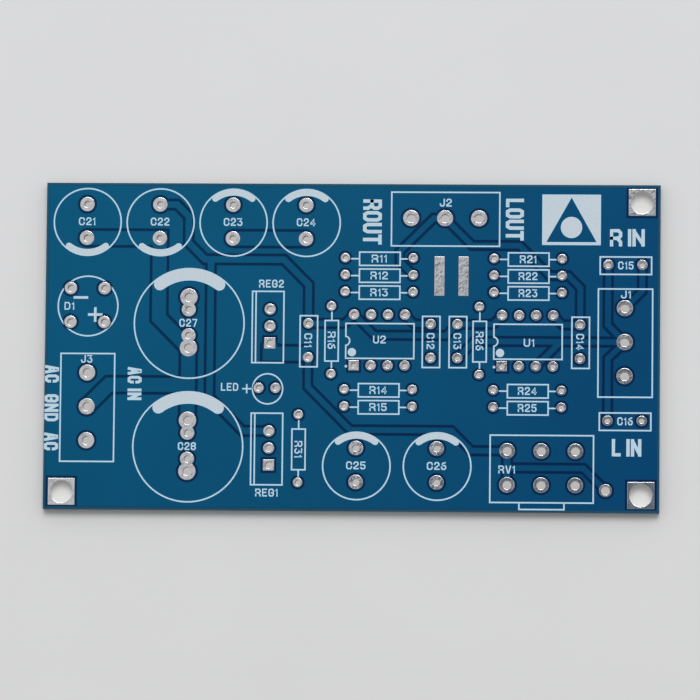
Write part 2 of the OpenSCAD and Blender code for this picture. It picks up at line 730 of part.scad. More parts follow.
module copper_top() {
    color("peru")
    translate([0, 0, laminate_top])
    foil(top_routes)
    bar_outlines();
}

module copper_bottom() {
    color("peru")
    underside()
    foil(bottom_routes, grounded_holes);
}

module mask_top() {
    color([0.05, 0.33, 0.47])
    translate([0, 0, laminate_top])
    mask(top_routes)
    bar_outlines();
}

module mask_bottom() {
    color([0.05, 0.33, 0.47])
    underside()
    mask(bottom_routes, grounded_holes);
}

module tinned_bars() {
    color("silver")
    translate([0, 0, laminate_top])
    linear_extrude(coating)
    bar_outlines();
}

// Plated holes: a pad on each side and the barrel between them
module plated_holes(holes) {
    color("silver")
    difference() {
        union() {
            for (z = [0, laminate_top], h = holes)
                translate([0, 0, z])
                linear_extrude(coating)
                pad_outline(h);
            for (h = holes)
                at_hole(h)
                cylinder(h = board_thickness, d = drill_of(h));
        }
        for (h = holes)
            translate([0, 0, -overcut])
            at_hole(h)
            cylinder(h = board_thickness + 2 * overcut, d = h[1]);
    }
}

// Printed shapes

module print_line(path) {
    polygon(ribbon(path, line_width));
}

module print_ring(diameter) {
    difference() {
        circle(d = diameter);
        circle(d = diameter - 2 * line_width);
    }
}

module print_frame(size) {
    difference() {
        square(size, center = true);
        square(size - 2 * line_width * [1, 1], center = true);
    }
}

module print_cross(size, width) {
    square([size, width], center = true);
    square([width, size], center = true);
}

// Can of an electrolytic capacitor with a band inside its outline on the negative side
module print_capacitor(diameter, band, side) {
    width = band - line_width / 2;
    print_ring(diameter);
    polygon(curved_band(diameter / 2 - band + width / 2, width, side));
}

// Bridge rectifier with its polarity signs
module print_bridge() {
    print_ring(bridge_diameter);
    translate([-bridge_sign_place.x, bridge_sign_place.y])
        square([bridge_sign, bridge_sign_width], center = true);
    translate([bridge_sign_place.x, -bridge_sign_place.y])
        print_cross(bridge_sign, bridge_sign_width);
}

// Lamp with the sign of its positive lead
module print_lamp() {
    print_ring(lamp_diameter);
    translate([-(lamp_diameter + lamp_sign) / 2 - lamp_sign_gap, 0])
        print_cross(lamp_sign, line_width);
}

module print_resistor(turn) {
    lead = (resistor_span - resistor_pad) / 2;
    rotate(turn) {
        print_frame([resistor_body_width, resistor_body_length]);
        for (end = [-1, 1])
            print_line([[0, end * resistor_body_length / 2], [0, end * lead]]);
    }
}

module print_regulator() {
    translate([-regulator_body_shift, 0]) {
        print_frame([regulator_body_width, regulator_body_length]);
        translate([regulator_tab - regulator_body_width / 2, 0])
            square([line_width, regulator_body_length], center = true);
    }
}

module print_amplifier() {
    middle = [1.5 * fine_pitch, amplifier_rows / 2];
    corner = [-amplifier_body_length, -amplifier_body_width] / 2;
    key = [corner.x, 0];
    translate(middle) {
        difference() {
            union() {
                print_frame([amplifier_body_length, amplifier_body_width]);
                translate(key) circle(d = amplifier_key);
            }
            translate(key) circle(d = amplifier_key - 2 * line_width);
            translate(key - amplifier_key * [1, 0.5]) square(amplifier_key);
        }
        translate(corner + pin_dot_inset * [1, 1])
            circle(d = pin_dot);
    }
    translate([-(fine_pad + pin_point) / 2 - pin_point_gap, 0])
        circle(d = pin_point);
}

module print_potentiometer() {
    print_frame([potentiometer_body_length, potentiometer_body_width]);
    collar_top = -potentiometer_body_width / 2 + line_width;
    collar_end = -potentiometer_inset + print_margin - print_shift.y + line_width / 2;
    print_line([
        [-collar_width / 2, collar_top],
        [-collar_width / 2, collar_end],
        [collar_width / 2, collar_end],
        [collar_width / 2, collar_top]
    ]);
}

// Solid field with a triangle left open round a disc
module print_field() {
    half_base = mark_base / 2;
    slant = norm([half_base, mark_height]);
    inscribed = half_base * mark_height / (half_base + slant);
    translate([half_length, half_width] - field_inset - field_size / 2) {
        difference() {
            square(field_size, center = true);
            translate([0, -mark_height / 2])
                polygon([[-half_base, 0], [half_base, 0], [0, mark_height]]);
        }
        translate([0, inscribed - mark_height / 2])
            circle(d = mark_disc);
    }
}

module print_power_section() {
    translate(power_pins[1])
        print_frame([terminal_body_width, terminal_body_length]);
    translate(bridge_centre)
        print_bridge();
    for (i = [0:3])
        translate(filter_centres[i])
        print_capacitor(capacitor_diameter, capacitor_band, i < 2 ? -90 : 90);
    for (c = reservoir_centres)
        translate(c)
        print_capacitor(reservoir_diameter, reservoir_band, 90);
    for (c = regulator_centres)
        translate(c)
        print_regulator();
    translate([lamp_x, lamp_y])
        print_lamp();
}

module print_amplifier_section() {
    for (pins = amplifier_pins)
        translate(pins[0])
        print_amplifier();
    for (x = [film_1_x, film_2_x, film_3_x, film_4_x])
        translate([x, film_y])
        print_frame([film_body_width, film_body_length]);
    for (place = resistor_places)
        translate(place[0])
        print_resistor(place[1]);
    for (c = coupling_centres)
        translate(c)
        print_capacitor(capacitor_diameter, capacitor_band, 90);
}

module print_controls() {
    translate(output_pins[1])
        print_frame([terminal_body_length, terminal_body_width]);
    translate(input_pins[1])
        print_frame([terminal_body_width, terminal_body_length]);
    for (c = ceramic_centres)
        translate(c)
        print_frame([film_body_length, film_body_width]);
    translate(potentiometer_centre)
        print_potentiometer();
    print_field();
}

// The print keeps clear of the pads and of the edge of the board
module legend() {
    color("white")
    translate([0, 0, board_thickness])
    linear_extrude(legend_thickness)
    difference() {
        intersection() {
            board_outline(-print_margin);
            translate(print_shift) {
                print_power_section();
                print_amplifier_section();
                print_controls();
            }
        }
        for (h = all_holes)
            pad_outline(h, print_clearance);
    }
}

module mounting_pads() plated_holes(mounting_holes);
module power_terminal_pads() plated_holes(power_terminal_holes);
module input_terminal_pads() plated_holes(input_terminal_holes);
module output_terminal_pads() plated_holes(output_terminal_holes);
module bridge_pads() plated_holes(bridge_holes);
module filter_pads(i) plated_holes(filter_holes[i - 1]);
module coupling_pads(i) plated_holes(coupling_holes[i - 1]);
module reservoir_pads(i) plated_holes(reservoir_holes[i - 1]);
module negative_regulator_pads() plated_holes(regulator_holes[0]);
module positive_regulator_pads() plated_holes(regulator_holes[1]);
module lamp_pads() plated_holes(lamp_holes);
module output_amplifier_pads() plated_holes(amplifier_holes[0]);
module input_amplifier_pads() plated_holes(amplifier_holes[1]);
module film_pads(i) plated_holes(film_holes[i - 1]);
module ceramic_pads(i) plated_holes(ceramic_holes[i - 1]);
module potentiometer_pads() plated_holes(potentiometer_holes);
module ground_point() plated_holes(ground_holes);
module resistor_pads(i) plated_holes(resistor_holes[i - 1]);

function numbered(name, count) = [for (i = [1:count]) str(name, "_", i, "_pads")];

laminate();
copper_top();
copper_bottom();
mask_top();
mask_bottom();
legend();
tinned_bars();
mounting_pads();
power_terminal_pads();
input_terminal_pads();
output_terminal_pads();
bridge_pads();
negative_regulator_pads();
positive_regulator_pads();
lamp_pads();
output_amplifier_pads();
input_amplifier_pads();
potentiometer_pads();
ground_point();
for (i = [1:4]) filter_pads(i);
for (i = [1:2]) coupling_pads(i);
for (i = [1:2]) reservoir_pads(i);
for (i = [1:4]) film_pads(i);
for (i = [1:2]) ceramic_pads(i);
for (i = [1:13]) resistor_pads(i);
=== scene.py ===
"""Dresses the bare audio preamplifier board: materials, printed lettering, floor, light and camera."""

import math

import bpy
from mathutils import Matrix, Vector


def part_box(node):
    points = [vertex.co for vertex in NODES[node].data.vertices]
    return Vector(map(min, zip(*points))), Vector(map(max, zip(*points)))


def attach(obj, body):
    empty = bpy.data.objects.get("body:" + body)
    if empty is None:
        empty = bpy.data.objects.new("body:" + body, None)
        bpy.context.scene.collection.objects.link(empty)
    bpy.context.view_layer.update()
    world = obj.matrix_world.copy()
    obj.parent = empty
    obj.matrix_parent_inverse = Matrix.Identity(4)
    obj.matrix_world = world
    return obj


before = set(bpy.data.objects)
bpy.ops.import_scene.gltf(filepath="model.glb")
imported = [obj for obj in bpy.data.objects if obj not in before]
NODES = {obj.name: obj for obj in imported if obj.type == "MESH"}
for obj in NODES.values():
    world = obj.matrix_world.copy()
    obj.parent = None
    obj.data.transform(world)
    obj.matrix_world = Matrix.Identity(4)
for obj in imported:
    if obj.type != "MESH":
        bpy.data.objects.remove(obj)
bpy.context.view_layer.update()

MM = 0.001

# The board's outline and levels, from the frame
BOARD_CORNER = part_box("laminate")[1]
HALF_LENGTH = BOARD_CORNER.x
HALF_WIDTH = BOARD_CORNER.y
MASK_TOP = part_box("mask_top")[1].z
LEGEND_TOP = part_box("legend")[1].z
# Depth by which the mask sinks over the gaps in the foil
MASK_DIP = 0.015 * MM

# The colour sockets of a mix node, by number
MIX_FACTOR, MIX_A, MIX_B = 0, 6, 7
MIX_RESULT = 2
BEVEL_SAMPLES = 8


def linear(*srgb):
    """An 8-bit display colour as a linear one."""
    out = []
    for value in srgb:
        c = value / 255
        out.append(c / 12.92 if c <= 0.04045 else ((c + 0.055) / 1.055) ** 2.4)
    return (*out, 1.0)


def grey(value):
    return (value, value, value, 1.0)


# ---------------------------------------------------------------- node helpers


class Tree:
    """A node tree with short ways to add and link nodes. A value may be a number or another socket."""

    def __init__(self, tree):
        self.tree = tree

    def add(self, kind, **settings):
        node = self.tree.nodes.new(kind)
        for key, value in settings.items():
            setattr(node, key, value)
        return node

    def feed(self, socket, value):
        """Links a socket to another one, or sets its number."""
        if isinstance(value, bpy.types.NodeSocket):
            self.tree.links.new(value, socket)
        else:
            socket.default_value = value

    def math(self, operation, a, b=0.0, clamp=False):
        node = self.add("ShaderNodeMath", operation=operation, use_clamp=clamp)
        self.feed(node.inputs[0], a)
        self.feed(node.inputs[1], b)
        return node.outputs[0]

    def mix(self, factor, a, b, blend="MIX"):
        node = self.add("ShaderNodeMix", data_type="RGBA", blend_type=blend)
        self.feed(node.inputs[MIX_FACTOR], factor)
        self.feed(node.inputs[MIX_A], a)
        self.feed(node.inputs[MIX_B], b)
        return node.outputs[MIX_RESULT]


class Surface(Tree):
    """A new material with one principled shader. Its patterns lie in the object's own metres."""

    def __init__(self, name):
        self.material = bpy.data.materials.new(name)
        self.material.use_nodes = True
        super().__init__(self.material.node_tree)
        self.tree.nodes.clear()
        self.shader = self.add("ShaderNodeBsdfPrincipled")
        self.output = self.add("ShaderNodeOutputMaterial")
        self.feed(self.output.inputs["Surface"], self.shader.outputs["BSDF"])
        self.coords = self.add("ShaderNodeTexCoord").outputs["Object"]

    def set(self, **values):
        for key, value in values.items():
            self.feed(self.shader.inputs[key.replace("_", " ")], value)

    def axis(self, name):
        split = self.add("ShaderNodeSeparateXYZ")
        self.feed(split.inputs[0], self.coords)
        return split.outputs[name]

    def share(self, name, size):
        """0 at the low end of a stretch of an axis about its origin, 1 at the high end."""
        return self.math("ADD", self.math("DIVIDE", self.axis(name), size), 0.5, clamp=True)

    def off_middle(self):
        """Height above or below the board's middle plane."""
        return self.math("ABSOLUTE", self.math("SUBTRACT", self.axis("Z"), MASK_TOP / 2))

    def beyond_edge(self):
        """How far a point lies beyond the board's outline, along its length and along its width."""
        past_end = self.math("SUBTRACT", self.math("ABSOLUTE", self.axis("X")), HALF_LENGTH)
        past_side = self.math("SUBTRACT", self.math("ABSOLUTE", self.axis("Y")), HALF_WIDTH)
        return past_end, past_side

    def noise(self, scale, detail=3.0, roughness=0.5):
        node = self.add("ShaderNodeTexNoise")
        self.feed(node.inputs["Scale"], scale)
        self.feed(node.inputs["Detail"], detail)
        self.feed(node.inputs["Roughness"], roughness)
        self.feed(node.inputs["Vector"], self.coords)
        return node.outputs["Fac"]

    def ramp(self, factor, *stops):
        node = self.add("ShaderNodeValToRGB")
        elements = node.color_ramp.elements
        while len(elements) < len(stops):
            elements.new(0.5)
        for element, (place, colour) in zip(elements, stops):
            element.position = place
            element.color = colour
        self.feed(node.inputs["Fac"], factor)
        return node.outputs["Color"]

    def times(self, colour, factor):
        return self.mix(1.0, colour, factor, "MULTIPLY")

    def mottle(self, colour, scale, detail, spread):
        """A colour made darker and lighter by noise, from the first to the last factor of the spread."""
        low, high = spread
        return self.times(colour, self.ramp(self.noise(scale, detail), (0.3, grey(low)), (0.7, grey(high))))

    def rounded(self, reach):
        """The normal of a surface whose edges are rounded within the given reach."""
        bevel = self.add("ShaderNodeBevel", samples=BEVEL_SAMPLES)
        self.feed(bevel.inputs["Radius"], reach)
        return bevel.outputs["Normal"]

    def level(self):
        """1 on level ground, falling to 0 beside a step."""
        split = self.add("ShaderNodeSeparateXYZ")
        self.feed(split.inputs[0], self.rounded(STEP_REACH))
        tilt = self.math("ARCCOSINE", self.math("ABSOLUTE", split.outputs["Z"]))
        return self.math("SUBTRACT", 1.0, self.math("MULTIPLY", tilt, STEP_FALL), clamp=True)

    def bump(self, height, strength, depth, normal=None):
        node = self.add("ShaderNodeBump")
        self.feed(node.inputs["Strength"], strength)
        self.feed(node.inputs["Distance"], depth)
        self.feed(node.inputs["Height"], height)
        if normal:
            self.feed(node.inputs["Normal"], normal)
        self.feed(self.shader.inputs["Normal"], node.outputs["Normal"])


# ------------------------------------------------------------------- materials

# How near a step the mask and the ink change colour, and how fast by the rounded step's tilt
STEP_REACH = 0.13 * MM
STEP_FALL = 4.0
# Width of the mask's paler rim along the board's outline, and of its blurred inner side
RIM = 0.45 * MM
RIM_BLUR = 0.15 * MM
# Rounding of the tin's rims, and its roughness: the least, what its patches add and what a barrel adds
TIN_ROUNDING = 0.08 * MM
TIN_ROUGHNESS = 0.05
PATCH_ROUGHNESS = 0.08
BARREL_ROUGHNESS = 0.5
# Depth below a pad's face where its barrel begins, and the share of metal that a barrel lacks
BARREL_DEPTH = 0.004 * MM
BARREL_DULLNESS = 0.95
# How far inside the board's outline the covered floor begins, and how far in a mounting pad reaches
COVER_INSET = 1.0 * MM
CORNER_REACH = 4.7 * MM


def mask_material():
    """Blue lacquer: lighter over the foil, dark where it sags into the gaps, paler at the cut rim, with
    painted light making it brighter toward the window.
    """
    n = Surface("solder_mask")
    along = n.share("X", 2 * HALF_LENGTH)
    over_foil = n.ramp(
        along,
        (0.0, linear(6, 82, 119)),
        (0.45, linear(7, 78, 115)),
        (1.0, linear(3, 67, 110)),
    )
    over_gap = n.ramp(along, (0.0, linear(4, 43, 77)), (1.0, linear(0, 36, 76)))
    on_foil = n.math("GREATER_THAN", n.off_middle(), MASK_TOP / 2 - MASK_DIP / 2)
    colour = n.mix(n.math("MULTIPLY", on_foil, n.level()), over_gap, over_foil)
    past_outline = n.math("MAXIMUM", *n.beyond_edge())
    rim = n.math("DIVIDE", n.math("ADD", past_outline, RIM), RIM_BLUR, clamp=True)
    colour = n.mix(rim, colour, linear(30, 78, 106))
    colour = n.mottle(colour, scale=60.0, detail=4.0, spread=(0.95, 1.04))
    colour = n.mottle(colour, scale=9000.0, detail=2.0, spread=(0.96, 1.04))
    # Painted light: the lacquer is painted a little darker toward -Y and up to a fifth brighter and warmer
    # toward +Y, where the window lamp stands.
    painted_window_light = n.share("Y", 2 * HALF_WIDTH)
    colour = n.times(colour, n.ramp(painted_window_light, (0.0, grey(0.98)), (1.0, (1.2, 1.15, 1.08, 1.0))))
    n.set(Base_Color=colour, Roughness=0.34, Specular_IOR_Level=0.035)
    n.bump(n.noise(scale=2500.0), strength=0.1, depth=0.01 * MM)
    return n.material


def tin_material():
    """Hot-levelled tin: a dimpled mirror with rounded rims, and pale and matt down the barrels."""
    n = Surface("tin")
    face = n.ramp(
        n.noise(scale=1300.0, roughness=0.55),
        (0.30, linear(196, 197, 200)),
        (0.50, linear(226, 227, 229)),
        (0.75, linear(236, 236, 238)),
    )
    in_barrel = n.math("LESS_THAN", n.off_middle(), MASK_TOP / 2 - BARREL_DEPTH)
    colour = n.mix(in_barrel, face, linear(222, 221, 219))
    metal = n.math("SUBTRACT", 1.0, n.math("MULTIPLY", in_barrel, BARREL_DULLNESS))
    patches = n.math("MULTIPLY", n.noise(scale=900.0), PATCH_ROUGHNESS)
    rough = n.math("ADD", patches, TIN_ROUGHNESS)
    rough = n.math("ADD", rough, n.math("MULTIPLY", in_barrel, BARREL_ROUGHNESS))
    n.set(Base_Color=colour, Metallic=metal, Roughness=rough)
    on_face = n.math("SUBTRACT", 1.0, in_barrel)
    dimples = n.math("MULTIPLY", n.noise(scale=1500.0, detail=2.0), on_face)
    n.bump(dimples, strength=0.5, depth=0.03 * MM, normal=n.rounded(TIN_ROUNDING))
    return n.material


def legend_material():
    """Printed ink: bluish white and a little uneven, and bluer beside its edges."""
    n = Surface("legend_ink")
    body = n.ramp(
        n.noise(scale=5000.0, detail=4.0, roughness=0.65),
        (0.25, linear(180, 196, 207)),
        (0.55, linear(197, 210, 219)),
        (0.8, linear(210, 220, 227)),
    )
    colour = n.mix(n.level(), linear(168, 224, 252), body)
    n.set(Base_Color=colour, Roughness=0.6, Specular_IOR_Level=0.3)
    n.bump(n.noise(scale=12000.0, detail=2.0), strength=0.2, depth=0.01 * MM)
    return n.material


def laminate_material():
    """Glass-epoxy with the layers of woven glass showing at the cut edges, painted dark olive as painted
    shade in place of its own paler tone.
    """
    n = Surface("glass_epoxy")
    weave = n.add("ShaderNodeTexWave", wave_type="BANDS", bands_direction="Z")
    n.feed(weave.inputs["Scale"], 1800.0)
    n.feed(weave.inputs["Distortion"], 3.0)
    n.feed(weave.inputs["Detail"], 2.0)
    n.feed(weave.inputs["Vector"], n.coords)
    # Painted shade: the weave's banding is real, but both its tones are painted dark olive to stand for the
    # shade on the cut edges.
    colour = n.ramp(weave.outputs["Fac"], (0.2, linear(38, 48, 50)), (0.8, linear(70, 80, 76)))
    speck = n.ramp(n.noise(scale=4000.0), (0.35, grey(0.85)), (0.65, (1.06, 1.06, 1.04, 1.0)))
    n.set(Base_Color=n.times(colour, speck), Roughness=0.65)
    n.bump(n.noise(scale=6000.0), strength=0.5, depth=0.03 * MM)
    return n.material


def copper_material():
    """Etched copper at the foils' edges."""
    n = Surface("copper")
    colour = n.ramp(n.noise(scale=1500.0), (0.3, linear(150, 92, 62)), (0.7, linear(206, 138, 100)))
    n.set(Base_Color=colour, Metallic=1.0, Roughness=0.4)
    n.bump(n.noise(scale=5000.0, detail=2.0), strength=0.2, depth=0.01 * MM)
    return n.material


def floor_material():
    """Pale card with painted light: a little brighter toward the window, brighter beneath the board, and
    glowing evenly to the camera through the holes, except the mounting holes.
    """
    n = Surface("pale_card")
    # Painted light: the card is painted a little brighter toward +Y, the window's side.
    painted_floor_light = n.share("Y", 4 * HALF_WIDTH)
    colour = n.ramp(painted_floor_light, (0.0, linear(219, 219, 219)), (1.0, linear(224, 224, 225)))
    colour = n.mottle(colour, scale=30.0, detail=2.0, spread=(0.99, 1.01))
    past_end, past_side = n.beyond_edge()
    covered = n.math("LESS_THAN", n.math("MAXIMUM", past_end, past_side), -COVER_INSET)
    corner = n.math("GREATER_THAN", n.math("MINIMUM", past_end, past_side), -CORNER_REACH)
    # Painted light: beneath the board the card is painted brighter, standing for light that reaches it
    # through the holes.
    colour = n.mix(covered, colour, linear(231, 231, 230))
    n.set(Base_Color=colour, Roughness=0.9, Specular_IOR_Level=0.1)
    # Painted light: there, away from the mounting holes, camera rays see an even emitted glow in place of
    # the lit card.
    even = n.math("MULTIPLY", covered, n.math("SUBTRACT", 1.0, corner))
    seen = n.math("MULTIPLY", n.add("ShaderNodeLightPath").outputs["Is Camera Ray"], even)
    painted_hole_glow = n.add("ShaderNodeEmission")
    n.feed(painted_hole_glow.inputs["Color"], linear(188, 184, 183))
    blend = n.add("ShaderNodeMixShader")
    for socket, value in zip(blend.inputs, (seen, n.shader.outputs["BSDF"], painted_hole_glow.outputs["Emission"])):
        n.feed(socket, value)
    n.feed(n.output.inputs["Surface"], blend.outputs["Shader"])
    return n.material


MASK = mask_material()
TIN = tin_material()
INK = legend_material()
LAMINATE = laminate_material()
COPPER = copper_material()

OWN_MATERIAL = {
    "laminate": LAMINATE,
    "copper_top": COPPER,
    "copper_bottom": COPPER,
    "mask_top": MASK,
    "mask_bottom": MASK,
    "legend": INK,
}
for name, node in NODES.items():
    node.data.materials.clear()
    node.data.materials.append(OWN_MATERIAL.get(name, TIN))


# ------------------------------------------------------------------- lettering

INK_DEPTH = LEGEND_TOP - MASK_TOP
UPRIGHT = 0
DOWNWARD = -90

# Each letter is its share of the full width and its strokes on a cell from 0 to 1. A stroke that
# ends where it starts is closed. A letter without width is one stroke wide.
BOWL = [(0.22, 0), (0.78, 0), (1, 0.18), (1, 0.82), (0.78, 1), (0.22, 1), (0, 0.82), (0, 0.18), (0.22, 0)]
HOOK = [(1, 0.7), (1, 0.82), (0.78, 1), (0.22, 1), (0, 0.82), (0, 0.18), (0.22, 0), (0.78, 0), (1, 0.18)]
BELLY = [(0.78, 0.6), (1, 0.44), (1, 0.18), (0.78, 0), (0.22, 0), (0, 0.16)]
UPPER_LOOP = [(0.22, 0.54), (0, 0.7), (0, 0.86), (0.22, 1), (0.78, 1), (1, 0.86), (1, 0.7), (0.78, 0.54)]
LOWER_LOOP = [(0.22, 0.54), (0, 0.38), (0, 0.16), (0.22, 0), (0.78, 0), (1, 0.16), (1, 0.38), (0.78, 0.54)]
LETTERS = {
    "A": (1, [[(0, 0), (0.36, 1), (0.64, 1), (1, 0)], [(0.2, 0.3), (0.8, 0.3)]]),
    "C": (1, [HOOK + [(1, 0.3)]]),
    "D": (1, [[(0, 0), (0, 1), (0.7, 1), (1, 0.78), (1, 0.22), (0.7, 0), (0, 0)]]),
    "E": (0.9, [[(1, 1), (0, 1), (0, 0), (1, 0)], [(0, 0.52), (0.8, 0.52)]]),
    "G": (1, [HOOK + [(1, 0.46), (0.6, 0.46)]]),
    "I": (0, [[(0, 0), (0, 1)]]),
    "J": (0.85, [[(1, 1), (1, 0.18), (0.78, 0), (0.22, 0), (0, 0.18), (0, 0.28)]]),
    "L": (0.85, [[(0, 1), (0, 0), (1, 0)]]),
    "N": (1, [[(0, 0), (0, 1)], [(1, 0), (1, 1)], [(0.04, 0.94), (0.96, 0.06)]]),
    "O": (1, [BOWL]),
    "R": (
        1,
        [
            [(0, 0), (0, 1), (0.78, 1), (1, 0.84), (1, 0.62), (0.78, 0.46), (0, 0.46)],
            [(0.62, 0.46), (1, 0.2), (1, 0)],
        ],
    ),
    "T": (0.95, [[(0, 1), (1, 1)], [(0.5, 1), (0.5, 0)]]),
    "U": (1, [[(0, 1), (0, 0.18), (0.22, 0), (0.78, 0), (1, 0.18), (1, 1)]]),
    "V": (1, [[(0, 1), (0.4, 0), (0.6, 0), (1, 1)]]),
    "1": (0.45, [[(0.1, 0.8), (0.9, 1), (0.9, 0)]]),
    "2": (
        0.9,
        [[(0, 0.74), (0, 0.84), (0.22, 1), (0.78, 1), (1, 0.84), (1, 0.62), (0, 0.14), (0, 0), (1, 0)]],
    ),
    "3": (0.9, [[(0, 1), (1, 1), (0.45, 0.6)] + BELLY]),
    "4": (0.95, [[(0.76, 0), (0.76, 1), (0, 0.32), (0, 0.26), (1, 0.26)]]),
    "5": (0.9, [[(0.95, 1), (0.05, 1), (0, 0.56), (0.75, 0.6)] + BELLY[1:]]),
    "6": (
        0.9,
        [
            [(0.85, 1), (0.3, 0.9), (0, 0.5), (0, 0.18), (0.22, 0), (0.78, 0), (1, 0.18), (1, 0.4)]
            + [(0.78, 0.58), (0.04, 0.56)],
        ],
    ),
    "7": (0.9, [[(0, 1), (1, 1), (0.36, 0)]]),
    "8": (0.95, [UPPER_LOOP + [(0.22, 0.54)], LOWER_LOOP]),
}
# How far a mitre may reach at a sharp bend, in halves of a stroke's width
LONGEST_MITRE = 1.3
# Width of a space, in widths of a stroke
SPACE = 1.0
# Each further stroke of a letter lies this share lower, so that no two tops lie in one plane
STROKE_STEP = 0.15


def edges_of(points, half):
    """A stroke's left and right edge, mitred at bends and squared beyond free ends, and if it's closed."""
    closed = points[0] == points[-1]
    spots = [Vector(q) for q in points[:-1]] if closed else [Vector(q) for q in points]
    count = len(spots)
    left, right = [], []
    for i, spot in enumerate(spots):
        before = spot - spots[i - 1] if i or closed else spots[1] - spot
        after = spots[(i + 1) % count] - spot if i + 1 < count or closed else before
        before, after = before.normalized(), after.normalized()
        along = (before + after).normalized()
        across = Vector((-along.y, along.x))
        reach = half / max(along.dot(after), 1 / LONGEST_MITRE)
        if not closed and i == 0:
            spot = spot - after * half
        if not closed and i == count - 1:
            spot = spot + before * half
        left.append(spot + across * reach)
        right.append(spot - across * reach)
    return left, right, closed


def stroke_faces(verts, faces, points, half, depth):
    """Adds one stroke as a flat bar of ink."""
    left, right, closed = edges_of(points, half)
    base, count = len(verts), len(left)
    for a, b in zip(left, right):
        for spot in (a, b):
            verts.extend([(spot.x, spot.y, 0.0), (spot.x, spot.y, depth)])
    for i in range(count if closed else count - 1):
        a, b = base + 4 * i, base + 4 * ((i + 1) % count)
        faces.append((a + 1, a + 3, b + 3, b + 1))
        faces.append((a, b, b + 2, a + 2))
        faces.append((a, a + 1, b + 1, b))
        faces.append((a + 2, b + 2, b + 3, a + 3))
    if not closed:
        first, last = base, base + 4 * (count - 1)
        faces.append((first, first + 2, first + 3, first + 1))
        faces.append((last, last + 1, last + 3, last + 2))


def lettering(name, words, centre, height, length, turn, stroke, gap):
    """Printed words of the given height and length, all in millimetres."""
    shares = [LETTERS[c][0] if c != " " else None for c in words]
    space = SPACE * stroke
    free = length - gap * (len(words) - 1) - space * shares.count(None) - stroke * shares.count(0)
    unit = free / sum(share for share in shares if share)
    verts, faces = [], []
    place = -length / 2
    for letter, share in zip(words, shares):
        if share is None:
            place += space + gap
            continue
        wide = unit * share if share else stroke
        for order, points in enumerate(LETTERS[letter][1]):
            spots = [
                (
                    (place + stroke / 2 + x * (wide - stroke)) * MM,
                    (y - 0.5) * (height - stroke) * MM,
                )
                for x, y in points
            ]
            stroke_faces(verts, faces, spots, stroke / 2 * MM, INK_DEPTH * (1 - order * STROKE_STEP))
        place += wide + gap
    mesh = bpy.data.meshes.new(name)
    mesh.from_pydata(verts, [], faces)
    mesh.materials.append(INK)
    text = bpy.data.objects.new(name, mesh)
    text.rotation_euler.z = math.radians(turn)
    text.location = (centre[0] * MM, centre[1] * MM, MASK_TOP)
    bpy.context.scene.collection.objects.link(text)
    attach(text, "root")


def beside(part, offset):
    """The place at an offset from the middle of a part's pads, in millimetres."""
    low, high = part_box(f"{part}_pads")
    return (low.x + high.x) / 2 / MM + offset[0], (low.y + high.y) / 2 / MM + offset[1]


MARK_HEIGHT = 1.18
MARK_STROKE = 0.2
MARK_GAP = 0.2
